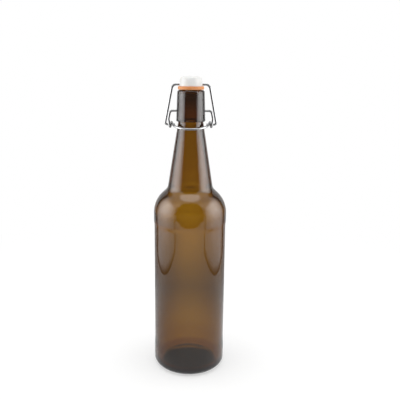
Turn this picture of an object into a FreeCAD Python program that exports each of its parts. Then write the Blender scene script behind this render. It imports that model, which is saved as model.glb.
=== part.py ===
"""Swing top bottle: a glass bottle closed by a sprung stopper on two bent wires.

Millimetres, +Z up. The bottle stands on z = 0 with its axis on Z. The thumb bow of the lever faces -Y, and
every pivot of the closure lies along X. The closure is drawn shut, as it stands on a full bottle.
"""
import FreeCAD, Part
import math
import os
from collections import namedtuple

import Sketcher
from FreeCAD import Placement, Rotation, Vector

SIZES = {
    # Glass body
    "body_diameter": 68.0,
    "glass_height": 265.5,
    "glass_wall": 3.4,
    "heel_radius": 5.0,
    "bearing_ring_width": 3.5,
    "punt_depth": 5.0,
    "base_thickness": 5.0,
    "inner_heel_radius": 8.0,
    "heel_band_height": 17.0,
    "panel_depth": 0.45,
    "panel_blend": 2.5,
    "panel_edge_radius": 8.0,
    "shoulder_band_height": 14.5,
    "shoulder_start": 152.0,
    "shoulder_radius": 25.4,
    "hollow_radius": 17.6,
    "neck_top_diameter": 22.8,
    "neck_half_angle": 8.8,
    # Collar, mouth and the two pivot dimples
    "collar_height": 28.1,
    "collar_foot_diameter": 26.6,
    "collar_top_diameter": 24.8,
    "collar_edge_radius": 0.8,
    "lip_radius": 2.0,
    "mouth_radius": 1.2,
    "bore_diameter": 16.0,
    "pivot_drop": 18.7,
    "dimple_depth": 3.0,
    "dimple_flare": 0.6,
    "pivot_clearance": 0.08,
    # Stopper and gasket
    "head_diameter": 21.1,
    "head_top_diameter": 19.6,
    "head_height": 9.5,
    "head_edge_radius": 2.6,
    "crown_rise": 0.9,
    "stem_diameter": 10.8,
    "bead_diameter": 12.6,
    "bead_height": 4.0,
    "bead_edge_radius": 0.9,
    "bail_hole_height": 1.7,
    "bail_hole_clearance": 0.08,
    "gasket_diameter": 23.6,
    "gasket_rise": 3.2,
    "gasket_nose": 0.2,
    "gasket_edge_radius": 0.5,
    "gasket_fit": 0.05,
    "seal_angle": 10.0,
    "seal_clearance": 0.35,
    # Lever wire
    "wire_diameter": 2.0,
    "crank_drop": 12.6,
    "crank_standoff": 5.5,
    "crank_radius": 3.0,
    "bulge_standoff": 7.1,
    "bulge_drop": 7.5,
    "bulge_radius": 5.0,
    "eye_clearance": 0.2,
    "dimple_end_gap": 0.3,
    "bow_slope": 12.2,
    "bow_radius": 16.2,
    "bow_lead": 3.0,
    "bow_side_radius": 5.0,
    "bow_clearance": 5.8,
    # Stopper bail
    "bail_shoulder_gap": 2.6,
    "bail_shoulder_radius": 4.4,
    "bail_foot_gap": 1.05,
    "bail_foot_radius": 1.8,
    "bail_end_gap": 1.2,
    "wire_end_chamfer": 0.3,
}

# Heights and reaches that several pieces share, as expressions of the sheet
PANEL_FOOT_Z = "(Dim.heel_radius + Dim.heel_band_height)"
PANEL_TOP_Z = "(Dim.shoulder_start - Dim.shoulder_band_height)"
PANEL_R = "(Dim.body_diameter / 2 - Dim.panel_depth)"
COLLAR_FOOT_Z = "(Dim.glass_height - Dim.collar_height)"
COLLAR_FOOT_R = "(Dim.collar_foot_diameter / 2)"
PIVOT_Z = "(Dim.glass_height - Dim.pivot_drop)"
COLLAR_LEAN = "((Dim.collar_foot_diameter - Dim.collar_top_diameter) / 2 / Dim.collar_height)"
PIVOT_R = f"({COLLAR_FOOT_R} - {COLLAR_LEAN} * (Dim.collar_height - Dim.pivot_drop))"
EYE_R = "(Dim.wire_diameter + Dim.eye_clearance)"
EYE_Z = f"({PIVOT_Z} - Dim.crank_drop)"
HEAD_FOOT_Z = "(Dim.glass_height + Dim.gasket_rise)"
STOPPER_AXIS_Z = f"({HEAD_FOOT_Z} + Dim.bail_hole_height)"
BAIL_LENGTH = f"sqrt(({STOPPER_AXIS_Z} - {EYE_Z})^2 + {EYE_R}^2)"
BAIL_LEAN = f"asin({EYE_R} / {BAIL_LENGTH})"
GASKET_HEIGHT = "(Dim.gasket_nose + Dim.gasket_rise)"
EYE_TURN_DEG = "(270 + Dim.bow_slope)"
EYE_LEAD = f"(Dim.wire_diameter / ({EYE_R} * {EYE_TURN_DEG} * pi / 180))"
STUB_X = f"({PIVOT_R} - Dim.dimple_depth + Dim.dimple_end_gap)"
EYE_OUTER_X = f"({COLLAR_FOOT_R} + Dim.bulge_standoff - {EYE_LEAD} * (Dim.crank_drop - Dim.bulge_drop))"

doc = FreeCAD.newDocument("swing_top_bottle")
sheet = doc.addObject("Spreadsheet::Sheet", "Dim")
for row, (alias, number) in enumerate(SIZES.items(), start=1):
    sheet.set(f"A{row}", alias)
    sheet.set(f"B{row}", str(number))
    sheet.setAlias(f"B{row}", alias)
doc.recompute()

Edge = namedtuple("Edge", "geo first last")
ORIGIN = (-1, 1)
X_AXIS, Z_AXIS = range(-1, -3, -1)
START, END, CENTRE = range(1, 4)
MATCH = 1e-4


def value(expression):
    """The number that an expression of the sheet comes to."""
    return float(sheet.evalExpression(expression))


def new_body(label):
    body = doc.addObject("PartDesign::Body", label)
    body.Label = label
    return body


def origin_plane(body, role):
    return next(feature for feature in body.Origin.OriginFeatures if feature.Role == role)


class Outline:
    """A sketch on one of a body's own planes, drawn edge by edge and sized from the sheet."""

    def __init__(self, body, name, role="XZ_Plane"):
        self.sketch = body.newObject("Sketcher::SketchObject", name)
        self.sketch.AttachmentSupport = [(origin_plane(body, role), "")]
        self.sketch.MapMode = "FlatFace"

    def line(self, start, end):
        segment = Part.LineSegment(Vector(*start, 0), Vector(*end, 0))
        return Edge(self.sketch.addGeometry(segment, False), START, END)

    def arc(self, centre, start, end, clockwise=False):
        angles = [math.atan2(p[1] - centre[1], p[0] - centre[0]) for p in (start, end)]
        circle = Part.Circle(Vector(*centre, 0), Vector(0, 0, 1), math.dist(centre, start))
        ends = (START, END)
        if clockwise:
            angles.reverse()
            ends = (END, START)
        return Edge(self.sketch.addGeometry(Part.ArcOfCircle(circle, *angles), False), *ends)

    def rule(self, kind, *where):
        self.sketch.addConstraint(Sketcher.Constraint(kind, *where))

    def join(self, before, after, smooth=False):
        kind = "Tangent" if smooth else "Coincident"
        self.rule(kind, before.geo, before.last, after.geo, after.first)

    def size(self, kind, *where, to):
        """A driving dimension, bound to an expression of the sheet."""
        number = value(to)
        if kind == "Angle":
            number = math.radians(number)
        index = self.sketch.addConstraint(Sketcher.Constraint(kind, *where, number))
        self.sketch.setExpression(f"Constraints[{index}]", f"{to} * 1 deg" if kind == "Angle" else to)

    def place(self, geo, point, x=None, y=None):
        """Set a point's distances from the axis and from the base plane."""
        if x is not None:
            self.size("DistanceX", *ORIGIN, geo, point, to=x)
        if y is not None:
            self.size("DistanceY", *ORIGIN, geo, point, to=y)

    def polygon(self, corners):
        """A closed outline whose corners are pairs of expressions; a y of None lies on the base plane."""
        points = [(value(x), 0.0 if y is None else value(y)) for x, y in corners]
        edges = [self.line(a, b) for a, b in zip(points, points[1:] + points[:1])]
        for before, after in zip(edges[-1:] + edges[:-1], edges):
            self.join(before, after)
        for edge, (x, y) in zip(edges, corners):
            if y is None:
                self.rule("PointOnObject", edge.geo, START, X_AXIS)
            self.place(edge.geo, START, x=x, y=y)


def revolve(body, outline, name):
    turned = body.newObject("PartDesign::Revolution", name)
    turned.Profile = outline.sketch
    turned.ReferenceAxis = (outline.sketch, ["V_Axis"])
    turned.Angle = 360
    doc.recompute()
    return turned


def ring_edges(feature, radius, height):
    """Names of the circular edges of a turned feature that have this radius at this height."""
    names = []
    for number, edge in enumerate(feature.Shape.Edges, start=1):
        if edge.Degenerated or not isinstance(edge.Curve, Part.Circle):
            continue
        circle = edge.Curve
        if math.dist((circle.Radius, circle.Center.z), (radius, height)) < MATCH:
            names.append(f"Edge{number}")
    return names


def round_rings(body, feature, name, rings, radius):
    """Round the edges of a turned feature; each ring is a pair of expressions, radius and height."""
    names = [edge for r, z in rings for edge in ring_edges(feature, value(r), value(z))]
    rounded = body.newObject("PartDesign::Fillet", name)
    rounded.Base = (feature, names)
    rounded.setExpression("Radius", radius)
    doc.recompute()
    return rounded


def unit(vector):
    return Vector(vector).normalize()


def make_glass_bottle():
    """The half section of the glass, turned about the bottle's axis, with a dimple on each side."""
    body = new_body("glass_bottle")
    wall = value("Dim.glass_wall")
    body_r = value("Dim.body_diameter / 2")
    heel = value("Dim.heel_radius")
    ring_outer = body_r - heel
    ring_inner = ring_outer - value("Dim.bearing_ring_width")
    punt = value("Dim.punt_depth")
    floor = punt + value("Dim.base_thickness")
    punt_radius = (ring_inner ** 2 + punt ** 2) / (2 * punt)
    dome_z = punt - punt_radius
    floor_radius = floor - dome_z

    # Label panel: the barrel steps in a little between two bands that take the knocks
    blend = value("Dim.panel_blend")
    panel_r = value(PANEL_R)
    panel_foot_z = value(PANEL_FOOT_Z)
    panel_top_z = value(PANEL_TOP_Z)

    # Shoulder and hollow: two tangent arcs between the barrel and the neck cone
    shoulder_z = value("Dim.shoulder_start")
    shoulder_radius = value("Dim.shoulder_radius")
    hollow_radius = value("Dim.hollow_radius")
    lean = math.radians(value("Dim.neck_half_angle"))
    down = Vector(math.sin(lean), -math.cos(lean), 0)
    out = Vector(math.cos(lean), math.sin(lean), 0)
    neck_top = Vector(value("Dim.neck_top_diameter / 2"), value(COLLAR_FOOT_Z), 0)
    shoulder_centre = Vector(body_r - shoulder_radius, shoulder_z, 0)
    away = neck_top + out * hollow_radius - shoulder_centre
    reach = away.dot(down)
    neck_run = -reach - math.sqrt(reach ** 2 - away.dot(away) + (shoulder_radius + hollow_radius) ** 2)
    neck_foot = neck_top + down * neck_run
    hollow_centre = neck_foot + out * hollow_radius
    bend = unit(hollow_centre - shoulder_centre)
    turn_point = shoulder_centre + bend * shoulder_radius
    inner_turn_point = shoulder_centre + bend * (shoulder_radius - wall)
    inner_neck_foot = neck_foot - out * wall

    # Collar, lip and bore
    collar_z = neck_top.y
    top_z = value("Dim.glass_height")
    collar_r = value(COLLAR_FOOT_R)
    taper = math.atan(value(COLLAR_LEAN))
    edge = value("Dim.collar_edge_radius")
    lip = value("Dim.lip_radius")
    mouth = value("Dim.mouth_radius")
    bore_r = value("Dim.bore_diameter / 2")
    side = Vector(math.cos(taper), math.sin(taper), 0)
    edge_z = collar_z + edge
    edge_x = collar_r - math.tan(taper) * edge - edge / math.cos(taper)
    lip_z = top_z - lip
    lip_x = collar_r - math.tan(taper) * (lip_z - collar_z) - lip / math.cos(taper)
    edge_end = Vector(edge_x, edge_z, 0) + side * edge
    lip_start = Vector(lip_x, lip_z, 0) + side * lip
    bore_foot_z = inner_neck_foot.y + (inner_neck_foot.x - bore_r) / math.tan(lean)

    # Inner heel: an arc between the cavity's wall and its domed floor
    inner_heel = value("Dim.inner_heel_radius")
    cavity_r = body_r - wall
    inner_heel_x = cavity_r - inner_heel
    inner_heel_z = dome_z + math.sqrt((floor_radius + inner_heel) ** 2 - inner_heel_x ** 2)
    floor_dir = unit(Vector(inner_heel_x, inner_heel_z - dome_z, 0))
    floor_end = Vector(0, dome_z, 0) + floor_dir * floor_radius

    s = Outline(body, "glass_section")
    punt_arc = s.arc((0, dome_z), (0, punt), (ring_inner, 0), clockwise=True)
    ring = s.line((ring_inner, 0), (ring_outer, 0))
    heel_arc = s.arc((ring_outer, heel), (ring_outer, 0), (body_r, heel))
    heel_band = s.line((body_r, heel), (body_r, panel_foot_z))
    step_in = s.line((body_r, panel_foot_z), (panel_r, panel_foot_z + blend))
    panel = s.line((panel_r, panel_foot_z + blend), (panel_r, panel_top_z - blend))
    step_out = s.line((panel_r, panel_top_z - blend), (body_r, panel_top_z))
    shoulder_band = s.line((body_r, panel_top_z), (body_r, shoulder_z))
    shoulder = s.arc(shoulder_centre[:2], (body_r, shoulder_z), turn_point[:2])
    hollow = s.arc(hollow_centre[:2], turn_point[:2], neck_foot[:2], clockwise=True)
    neck = s.line(neck_foot[:2], neck_top[:2])
    ledge = s.line(neck_top[:2], (edge_x, collar_z))
    ledge_arc = s.arc((edge_x, edge_z), (edge_x, collar_z), edge_end[:2])
    collar = s.line(edge_end[:2], lip_start[:2])
    lip_arc = s.arc((lip_x, lip_z), lip_start[:2], (lip_x, top_z))
    rim = s.line((lip_x, top_z), (bore_r + mouth, top_z))
    mouth_arc = s.arc((bore_r + mouth, top_z - mouth), (bore_r + mouth, top_z), (bore_r, top_z - mouth))
    bore = s.line((bore_r, top_z - mouth), (bore_r, bore_foot_z))
    inner_neck = s.line((bore_r, bore_foot_z), inner_neck_foot[:2])
    inner_hollow = s.arc(hollow_centre[:2], inner_neck_foot[:2], inner_turn_point[:2])
    inner_shoulder = s.arc(shoulder_centre[:2], inner_turn_point[:2], (cavity_r, shoulder_z), clockwise=True)
    inner_barrel = s.line((cavity_r, shoulder_z), (cavity_r, inner_heel_z))
    heel_centre = (inner_heel_x, inner_heel_z)
    inner_heel_arc = s.arc(heel_centre, (cavity_r, inner_heel_z), floor_end[:2], clockwise=True)
    floor_arc = s.arc((0, dome_z), floor_end[:2], (0, floor))
    axis = s.line((0, floor), (0, punt))

    s.join(axis, punt_arc)
    s.join(punt_arc, ring)
    for before, after in ((ring, heel_arc), (heel_arc, heel_band), (shoulder_band, shoulder),
                          (shoulder, hollow), (hollow, neck)):
        s.join(before, after, smooth=True)
    for before, after in ((heel_band, step_in), (step_in, panel), (panel, step_out),
                          (step_out, shoulder_band)):
        s.join(before, after)
    s.join(neck, ledge)
    for before, after in ((ledge, ledge_arc), (ledge_arc, collar), (collar, lip_arc), (lip_arc, rim),
                          (rim, mouth_arc), (mouth_arc, bore)):
        s.join(before, after, smooth=True)
    s.join(bore, inner_neck)
    for before, after in ((inner_neck, inner_hollow), (inner_hollow, inner_shoulder),
                          (inner_shoulder, inner_barrel), (inner_barrel, inner_heel_arc),
                          (inner_heel_arc, floor_arc)):
        s.join(before, after, smooth=True)
    s.join(floor_arc, axis)

    for flat in (ledge, rim):
        s.rule("Horizontal", flat.geo)
    for upright in (heel_band, panel, shoulder_band, bore, inner_barrel):
        s.rule("Vertical", upright.geo)
    s.rule("PointOnObject", punt_arc.geo, punt_arc.first, Z_AXIS)
    s.rule("PointOnObject", punt_arc.geo, CENTRE, Z_AXIS)
    s.rule("PointOnObject", punt_arc.geo, punt_arc.last, X_AXIS)
    s.rule("PointOnObject", ring.geo, END, X_AXIS)
    s.rule("PointOnObject", floor_arc.geo, floor_arc.last, Z_AXIS)
    s.rule("Coincident", floor_arc.geo, CENTRE, punt_arc.geo, CENTRE)
    s.rule("Coincident", inner_hollow.geo, CENTRE, hollow.geo, CENTRE)
    s.rule("Coincident", inner_shoulder.geo, CENTRE, shoulder.geo, CENTRE)
    s.rule("Parallel", inner_neck.geo, neck.geo)

    ring_inner_r = "Dim.body_diameter / 2 - Dim.heel_radius - Dim.bearing_ring_width"
    s.place(punt_arc.geo, punt_arc.first, y="Dim.punt_depth")
    s.place(punt_arc.geo, punt_arc.last, x=ring_inner_r)
    s.place(heel_band.geo, END, x="Dim.body_diameter / 2", y=PANEL_FOOT_Z)
    s.place(panel.geo, START, y=f"{PANEL_FOOT_Z} + Dim.panel_blend")
    s.place(panel.geo, END, x=PANEL_R, y=f"{PANEL_TOP_Z} - Dim.panel_blend")
    s.place(shoulder_band.geo, START, y=PANEL_TOP_Z)
    s.place(shoulder_band.geo, END, x="Dim.body_diameter / 2", y="Dim.shoulder_start")
    s.place(neck.geo, END, x="Dim.neck_top_diameter / 2", y=COLLAR_FOOT_Z)
    s.place(rim.geo, END, y="Dim.glass_height")
    s.place(bore.geo, START, x="Dim.bore_diameter / 2")
    s.place(floor_arc.geo, floor_arc.last, y="Dim.punt_depth + Dim.base_thickness")
    s.size("Radius", heel_arc.geo, to="Dim.heel_radius")
    s.size("Radius", shoulder.geo, to="Dim.shoulder_radius")
    s.size("Radius", hollow.geo, to="Dim.hollow_radius")
    s.size("Radius", ledge_arc.geo, to="Dim.collar_edge_radius")
    s.size("Radius", lip_arc.geo, to="Dim.lip_radius")
    s.size("Radius", mouth_arc.geo, to="Dim.mouth_radius")
    s.size("Radius", inner_heel_arc.geo, to="Dim.inner_heel_radius")
    s.size("Angle", neck.geo, to="(90 + Dim.neck_half_angle)")
    s.size("Angle", collar.geo, to=f"(90 + atan({COLLAR_LEAN}) / 1 deg)")
    s.size("Distance", inner_neck.geo, END, neck.geo, to="Dim.glass_wall")
    foot_corner = s.sketch.addGeometry(Part.Point(Vector(collar_r, collar_z, 0)), True)
    s.place(foot_corner, START, x=COLLAR_FOOT_R, y=COLLAR_FOOT_Z)
    s.rule("PointOnObject", foot_corner, START, collar.geo)
    turned = revolve(body, s, "glass_turned")
    panel_rings = [
        ("Dim.body_diameter / 2", PANEL_FOOT_Z),
        (PANEL_R, f"{PANEL_FOOT_Z} + Dim.panel_blend"),
        (PANEL_R, f"{PANEL_TOP_Z} - Dim.panel_blend"),
        ("Dim.body_diameter / 2", PANEL_TOP_Z),
    ]
    round_rings(body, turned, "panel_edges", panel_rings, "Dim.panel_edge_radius")
    add_dimples(body)
    return body


def add_dimples(body):
    """A blind round socket with a flared mouth in each side of the collar, for the lever's ends."""
    dimple = Outline(body, "dimple_section")
    socket_r = "(Dim.wire_diameter / 2 + Dim.pivot_clearance)"
    floor_x = f"({PIVOT_R} - Dim.dimple_depth)"
    flare_x = f"({PIVOT_R} - Dim.dimple_flare)"
    mouth_x = f"({PIVOT_R} + Dim.dimple_flare)"
    dimple.polygon([
        (floor_x, PIVOT_Z),
        (mouth_x, PIVOT_Z),
        (mouth_x, f"{PIVOT_Z} + {socket_r} + 2 * Dim.dimple_flare"),
        (flare_x, f"{PIVOT_Z} + {socket_r}"),
        (floor_x, f"{PIVOT_Z} + {socket_r}"),
    ])
    turned = body.Tip.Shape.Volume
    cut = body.newObject("PartDesign::Groove", "dimple")
    cut.Profile = dimple.sketch
    cut.ReferenceAxis = (dimple.sketch, ["Edge1"])
    cut.Angle = 360
    doc.recompute()
    one_side = turned - cut.Shape.Volume
    mirrored = body.newObject("PartDesign::Mirrored", "dimples")
    mirrored.Originals = [cut]
    mirrored.MirrorPlane = (origin_plane(body, "YZ_Plane"), [""])
    body.Tip = mirrored
    doc.recompute()
    both_sides = turned - mirrored.Shape.Volume
    print(f"dimples cut {one_side:.2f} and {both_sides:.2f} mm3")


def make_stopper_head():
    """A domed head on a stem, with a bead that holds the gasket and a cross hole for the bail."""
    body = new_body("stopper_head")
    bead_r = "(Dim.bead_diameter / 2)"
    stem_r = "(Dim.stem_diameter / 2)"
    head_r = "(Dim.head_diameter / 2)"
    top_r = "(Dim.head_top_diameter / 2)"
    head_z = f"(Dim.bead_height + {GASKET_HEIGHT})"
    rim_z = f"({head_z} + Dim.head_height - Dim.crown_rise)"
    crown_z = f"({head_z} + Dim.head_height)"
    s = Outline(body, "stopper_section")
    crown_edge = (value(top_r), value(rim_z))
    crown_radius = value(f"({top_r}^2 + Dim.crown_rise^2) / (2 * Dim.crown_rise)")
    crown_top = (0.0, value(crown_z))
    corners = [
        (bead_r, "Dim.bead_height"),
        (stem_r, "Dim.bead_height"),
        (stem_r, head_z),
        (head_r, head_z),
        (top_r, rim_z),
    ]
    points = [(0.0, 0.0), (value(bead_r), 0.0)] + [(value(x), value(y)) for x, y in corners]
    edges = [s.line(a, b) for a, b in zip(points, points[1:])]
    crown = s.arc((0.0, crown_top[1] - crown_radius), crown_edge, crown_top)
    axis = s.line(crown_top, points[0])
    chain = edges + [crown, axis]
    for before, after in zip(chain, chain[1:] + chain[:1]):
        s.join(before, after)
    foot = edges[0]
    s.rule("Coincident", foot.geo, START, *ORIGIN)
    s.rule("Horizontal", foot.geo)
    s.place(foot.geo, END, x=bead_r)
    for edge, (x, y) in zip(edges[1:], corners):
        s.place(edge.geo, END, x=x, y=y)
    s.rule("PointOnObject", crown.geo, crown.last, Z_AXIS)
    s.rule("PointOnObject", crown.geo, CENTRE, Z_AXIS)
    s.place(crown.geo, crown.last, y=crown_z)
    turned = revolve(body, s, "stopper_turned")
    rounded = round_rings(body, turned, "head_edge", [(top_r, rim_z)], "Dim.head_edge_radius")
    rounded = round_rings(body, rounded, "bead_edge", [(bead_r, "0")], "Dim.bead_edge_radius")

    hole = Outline(body, "bail_hole_outline", "YZ_Plane")
    hole_z = f"{head_z} + Dim.bail_hole_height"
    hole_r = "Dim.wire_diameter / 2 + Dim.bail_hole_clearance"
    circle = Part.Circle(Vector(0, value(hole_z), 0), Vector(0, 0, 1), value(hole_r))
    geo = hole.sketch.addGeometry(circle, False)
    hole.rule("PointOnObject", geo, CENTRE, Z_AXIS)
    hole.place(geo, CENTRE, y=hole_z)
    hole.size("Radius", geo, to=hole_r)
    before = rounded.Shape.Volume
    drilled = body.newObject("PartDesign::Pocket", "bail_hole")
    drilled.Profile = hole.sketch
    drilled.SideType = "Symmetric"
    drilled.Type = "Length"
    drilled.setExpression("Length", "2 * Dim.head_diameter")
    doc.recompute()
    print(f"bail hole cut {before - drilled.Shape.Volume:.2f} mm3")
    body.setExpression("Placement.Base.z", "Dim.glass_height - Dim.gasket_nose - Dim.bead_height")
    return body


def make_rubber_gasket():
    """A thick washer whose cone closes on the inner edge of the lip."""
    body = new_body("rubber_gasket")
    hole_r = "(Dim.stem_diameter / 2 + Dim.gasket_fit)"
    rim_r = "(Dim.gasket_diameter / 2)"
    lip_r = "(Dim.bore_diameter / 2 + Dim.mouth_radius)"
    seal = "(Dim.mouth_radius + Dim.seal_clearance)"
    cone_r = f"({lip_r} - {seal} * sin(Dim.seal_angle))"
    cone_z = f"(Dim.gasket_nose - Dim.mouth_radius + {seal} * cos(Dim.seal_angle))"
    nose_r = f"({cone_r} - {cone_z} / tan(Dim.seal_angle))"
    skirt_z = f"({cone_z} + ({rim_r} - {cone_r}) * tan(Dim.seal_angle))"
    section = Outline(body, "gasket_section")
    section.polygon([
        (hole_r, None),
        (nose_r, None),
        (rim_r, skirt_z),
        (rim_r, GASKET_HEIGHT),
        (hole_r, GASKET_HEIGHT),
    ])
    turned = revolve(body, section, "gasket_turned")
    rims = [(rim_r, skirt_z), (rim_r, GASKET_HEIGHT)]
    round_rings(body, turned, "gasket_edges", rims, "Dim.gasket_edge_radius")
    body.setExpression("Placement.Base.z", "Dim.glass_height - Dim.gasket_nose")
    return body


def wire_end_edges(shape, x):
    """Names of the round edges where a wire is cut off at x and at -x."""
    names = []
    for number, edge in enumerate(shape.Edges, start=1):
        if isinstance(edge.Curve, Part.Circle) and abs(abs(edge.Curve.Center.x) - x) < MATCH:
            names.append(f"Edge{number}")
    return names


def make_stopper_bail():
    """The upper wire, flat in its own plane with the eye axis at its origin, then leaned to the stopper."""
    body = new_body("stopper_bail")
    end_x = f"({COLLAR_FOOT_R} + Dim.bail_end_gap)"
    foot_x = f"({EYE_OUTER_X} + Dim.wire_diameter / 2 + Dim.bail_foot_gap)"
    crest_x = "(Dim.head_diameter / 2 + Dim.bail_shoulder_gap)"
    end = Vector(value(end_x), 0, 0)
    foot = Vector(value(foot_x), 0, 0)
    crest = Vector(value(crest_x), value(BAIL_LENGTH), 0)
    foot_radius = value("Dim.bail_foot_radius")
    crest_radius = value("Dim.bail_shoulder_radius")
    foot_centre = foot + Vector(0, foot_radius, 0)
    crest_centre = crest - Vector(0, crest_radius, 0)
    span = crest_centre - foot_centre
    climb = math.atan2(span.y, span.x) + math.asin((foot_radius - crest_radius) / span.Length)
    outward = Vector(math.sin(climb), -math.cos(climb), 0)
    leg_foot = foot_centre + outward * foot_radius
    leg_top = crest_centre + outward * crest_radius

    route = Outline(body, "bail_route")
    foot_run = route.line(end[:2], foot[:2])
    foot_bend = route.arc(foot_centre[:2], foot[:2], leg_foot[:2])
    leg = route.line(leg_foot[:2], leg_top[:2])
    crest_bend = route.arc(crest_centre[:2], leg_top[:2], crest[:2])
    bridge = route.line(crest[:2], (0, crest.y))
    chain = [foot_run, foot_bend, leg, crest_bend, bridge]
    for before, after in zip(chain, chain[1:]):
        route.join(before, after, smooth=True)
    route.rule("PointOnObject", foot_run.geo, START, X_AXIS)
    route.rule("Horizontal", foot_run.geo)
    route.rule("Horizontal", bridge.geo)
    route.rule("PointOnObject", bridge.geo, END, Z_AXIS)
    route.place(foot_run.geo, START, x=end_x)
    route.place(foot_run.geo, END, x=foot_x)
    route.place(bridge.geo, START, x=crest_x, y=BAIL_LENGTH)
    route.size("Radius", foot_bend.geo, to="Dim.bail_foot_radius")
    route.size("Radius", crest_bend.geo, to="Dim.bail_shoulder_radius")

    ring = Outline(body, "bail_wire_section", "YZ_Plane")
    ring.sketch.setExpression("AttachmentOffset.Base.z", end_x)
    circle = Part.Circle(Vector(0, 0, 0), Vector(0, 0, 1), value("Dim.wire_diameter / 2"))
    geo = ring.sketch.addGeometry(circle, False)
    ring.rule("Coincident", geo, CENTRE, *ORIGIN)
    ring.size("Diameter", geo, to="Dim.wire_diameter")
    doc.recompute()

    half = body.newObject("PartDesign::AdditivePipe", "bail_half")
    half.Profile = ring.sketch
    half.Spine = (route.sketch, [f"Edge{number}" for number, edge in enumerate(chain, start=1)])
    doc.recompute()
    whole = body.newObject("PartDesign::Mirrored", "bail_whole")
    whole.Originals = [half]
    whole.MirrorPlane = (origin_plane(body, "YZ_Plane"), [""])
    body.Tip = whole
    doc.recompute()
    ends = body.newObject("PartDesign::Chamfer", "bail_ends")
    ends.Base = (whole, wire_end_edges(whole.Shape, end.x))
    ends.setExpression("Size", "Dim.wire_end_chamfer")
    doc.recompute()

    body.Placement = Placement(Vector(), Rotation(Vector(1, 0, 0), value(BAIL_LEAN)))
    body.setExpression("Placement.Base.y", EYE_R)
    body.setExpression("Placement.Base.z", EYE_Z)
    body.setExpression("Placement.Rotation.Angle", BAIL_LEAN)
    return body


def arc_from(start, heading, end):
    """The arc that leaves start along heading and passes through end."""
    chord = end - start
    half_turn = heading.getAngle(chord)
    bulge = heading - unit(chord) * math.cos(half_turn)
    middle = start + chord * 0.5 + unit(bulge) * (chord.Length / 2 * math.tan(half_turn / 2))
    return Part.Arc(start, middle, end).toShape()


def straight(start, end):
    return Part.LineSegment(start, end).toShape()


def biarc(start, heading, end, final_heading):
    """Two equal arcs in a row that join two points with the headings given."""
    chord = end - start
    both = heading + final_heading
    a = 2 * heading.dot(final_heading) - 2
    b = -2 * chord.dot(both)
    c = chord.dot(chord)
    reach = (-b - math.sqrt(b ** 2 - 4 * a * c)) / (2 * a)
    knee = start + heading * reach
    hip = end - final_heading * reach
    middle = (knee + hip) * 0.5
    return [arc_from(start, heading, middle), arc_from(middle, unit(hip - knee), end)]


def bend_at(before, corner, after, radius):
    """Where an arc of this radius leaves the first run and meets the second, at a corner of the two."""
    inward = unit(corner - before)
    onward = unit(after - corner)
    trim = radius * math.tan(inward.getAngle(onward) / 2)
    return corner - inward * trim, corner + onward * trim


def run_through(points, radii):
    """Straight runs through the points, with an arc of the given radius at each corner between."""
    edges = []
    place = points[0]
    for before, corner, after, radius in zip(points, points[1:], points[2:], radii):
        leave, meet = bend_at(before, corner, after, radius)
        edges.append(straight(place, leave))
        edges.append(arc_from(leave, unit(corner - before), meet))
        place = meet
    edges.append(straight(place, points[-1]))
    return edges


def lever_route():
    """The centre line of the lever, with the pivot axis through its origin."""
    wire = value("Dim.wire_diameter")
    collar_r = value(COLLAR_FOOT_R)
    eye_r = value(EYE_R)
    drop = value("Dim.crank_drop")
    lead = value(EYE_LEAD)
    turn = math.radians(value(EYE_TURN_DEG))
    slope = math.radians(value("Dim.bow_slope"))

    def eye(swept):
        """A point of the coiled eye and its heading, after this much of its turn."""
        angle = math.pi + swept
        spot = Vector(value(EYE_OUTER_X) - lead * eye_r * swept,
                      eye_r + eye_r * math.cos(angle),
                      -drop + eye_r * math.sin(angle))
        return spot, unit(Vector(-lead, -math.sin(angle), math.cos(angle)))

    # Stub in the dimple, crank down past the bulge, and into the eye
    eye_start, eye_heading = eye(0)
    stub = Vector(value(STUB_X), 0, 0)
    crank = Vector(collar_r + value("Dim.crank_standoff"), 0, 0)
    bulge = eye_start + eye_heading * ((drop - value("Dim.bulge_drop")) / eye_heading.z)
    radii = [value("Dim.crank_radius"), value("Dim.bulge_radius")]
    edges = run_through([stub, crank, bulge, eye_start], radii)

    # Coiled eye, in steps of under a quarter turn
    steps = math.ceil(turn / (math.pi / 2))
    for step in range(steps):
        start, heading = eye(turn * step / steps)
        end, final_heading = eye(turn * (step + 1) / steps)
        edges += biarc(start, heading, end, final_heading)

    # Thumb bow: a sloping plane whose second axis runs forward and down from the eye
    forward = Vector(0, -math.cos(slope), -math.sin(slope))
    eye_end, bow_heading = eye(turn)

    def bow(x, along):
        return Vector(x, eye_end.y, eye_end.z) + forward * along

    neck_lean = math.tan(math.radians(value("Dim.neck_half_angle")))
    neck_r = value("Dim.neck_top_diameter / 2")
    neck_r += neck_lean * (value(f"{COLLAR_FOOT_Z} - {PIVOT_Z}") - eye_end.z)
    stand = neck_r + wire / 2 + value("Dim.bow_clearance")
    front = (stand + eye_end.y) / (math.cos(slope) - math.sin(slope) * neck_lean)
    bow_radius = value("Dim.bow_radius")
    centre = front - bow_radius
    side = eye_end + bow_heading * value("Dim.bow_lead")
    side_along = (side - eye_end).dot(forward) - centre
    side_angle = math.atan2(side_along, side.x) + math.acos(bow_radius / math.hypot(side_along, side.x))
    touch_x = bow_radius * math.cos(side_angle)
    touch_along = centre + bow_radius * math.sin(side_angle)
    edges += run_through([eye_end, side, bow(touch_x, touch_along)], [value("Dim.bow_side_radius")])
    middle = Part.Arc(bow(touch_x, touch_along), bow(0, front), bow(-touch_x, touch_along)).toShape()
    mirrored = [edge.mirror(Vector(), Vector(1, 0, 0)) for edge in edges]
    return Part.Wire(Part.__sortEdges__(edges + [middle] + mirrored))


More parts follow.
